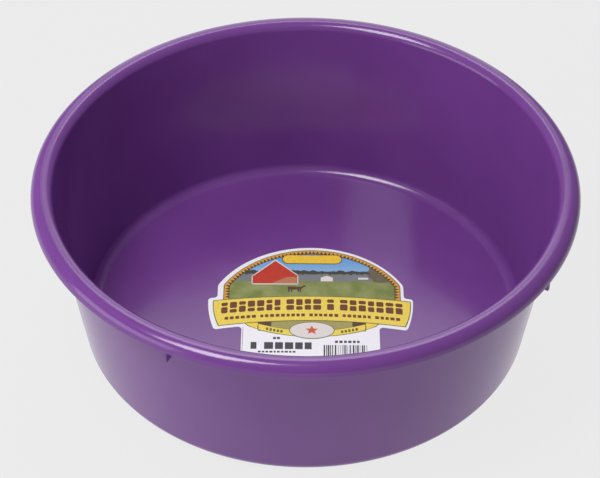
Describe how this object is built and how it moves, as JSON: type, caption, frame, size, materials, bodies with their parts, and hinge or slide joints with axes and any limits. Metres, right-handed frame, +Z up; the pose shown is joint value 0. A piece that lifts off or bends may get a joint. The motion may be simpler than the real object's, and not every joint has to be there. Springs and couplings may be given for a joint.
{
  "type": "feed pan",
  "caption": "Round low feed pan with sloping wall, rolled rim, stacking lugs and a picture label on its floor.",
  "frame": {"origin": "middle of the base, on the ground that the pan stands on", "axes": "+Z up, +X to the right and -Y to the front, the side from which the label is read"},
  "size_m": [0.305, 0.305, 0.1046],
  "materials": {
    "pan_plastic": "glossy injection-moulded purple plastic",
    "label_paper": "printed and varnished white paper"
  },
  "bodies": {
    "root": {"pan": "pan_plastic", "label": "label_paper"}
  },
  "joints": []
}
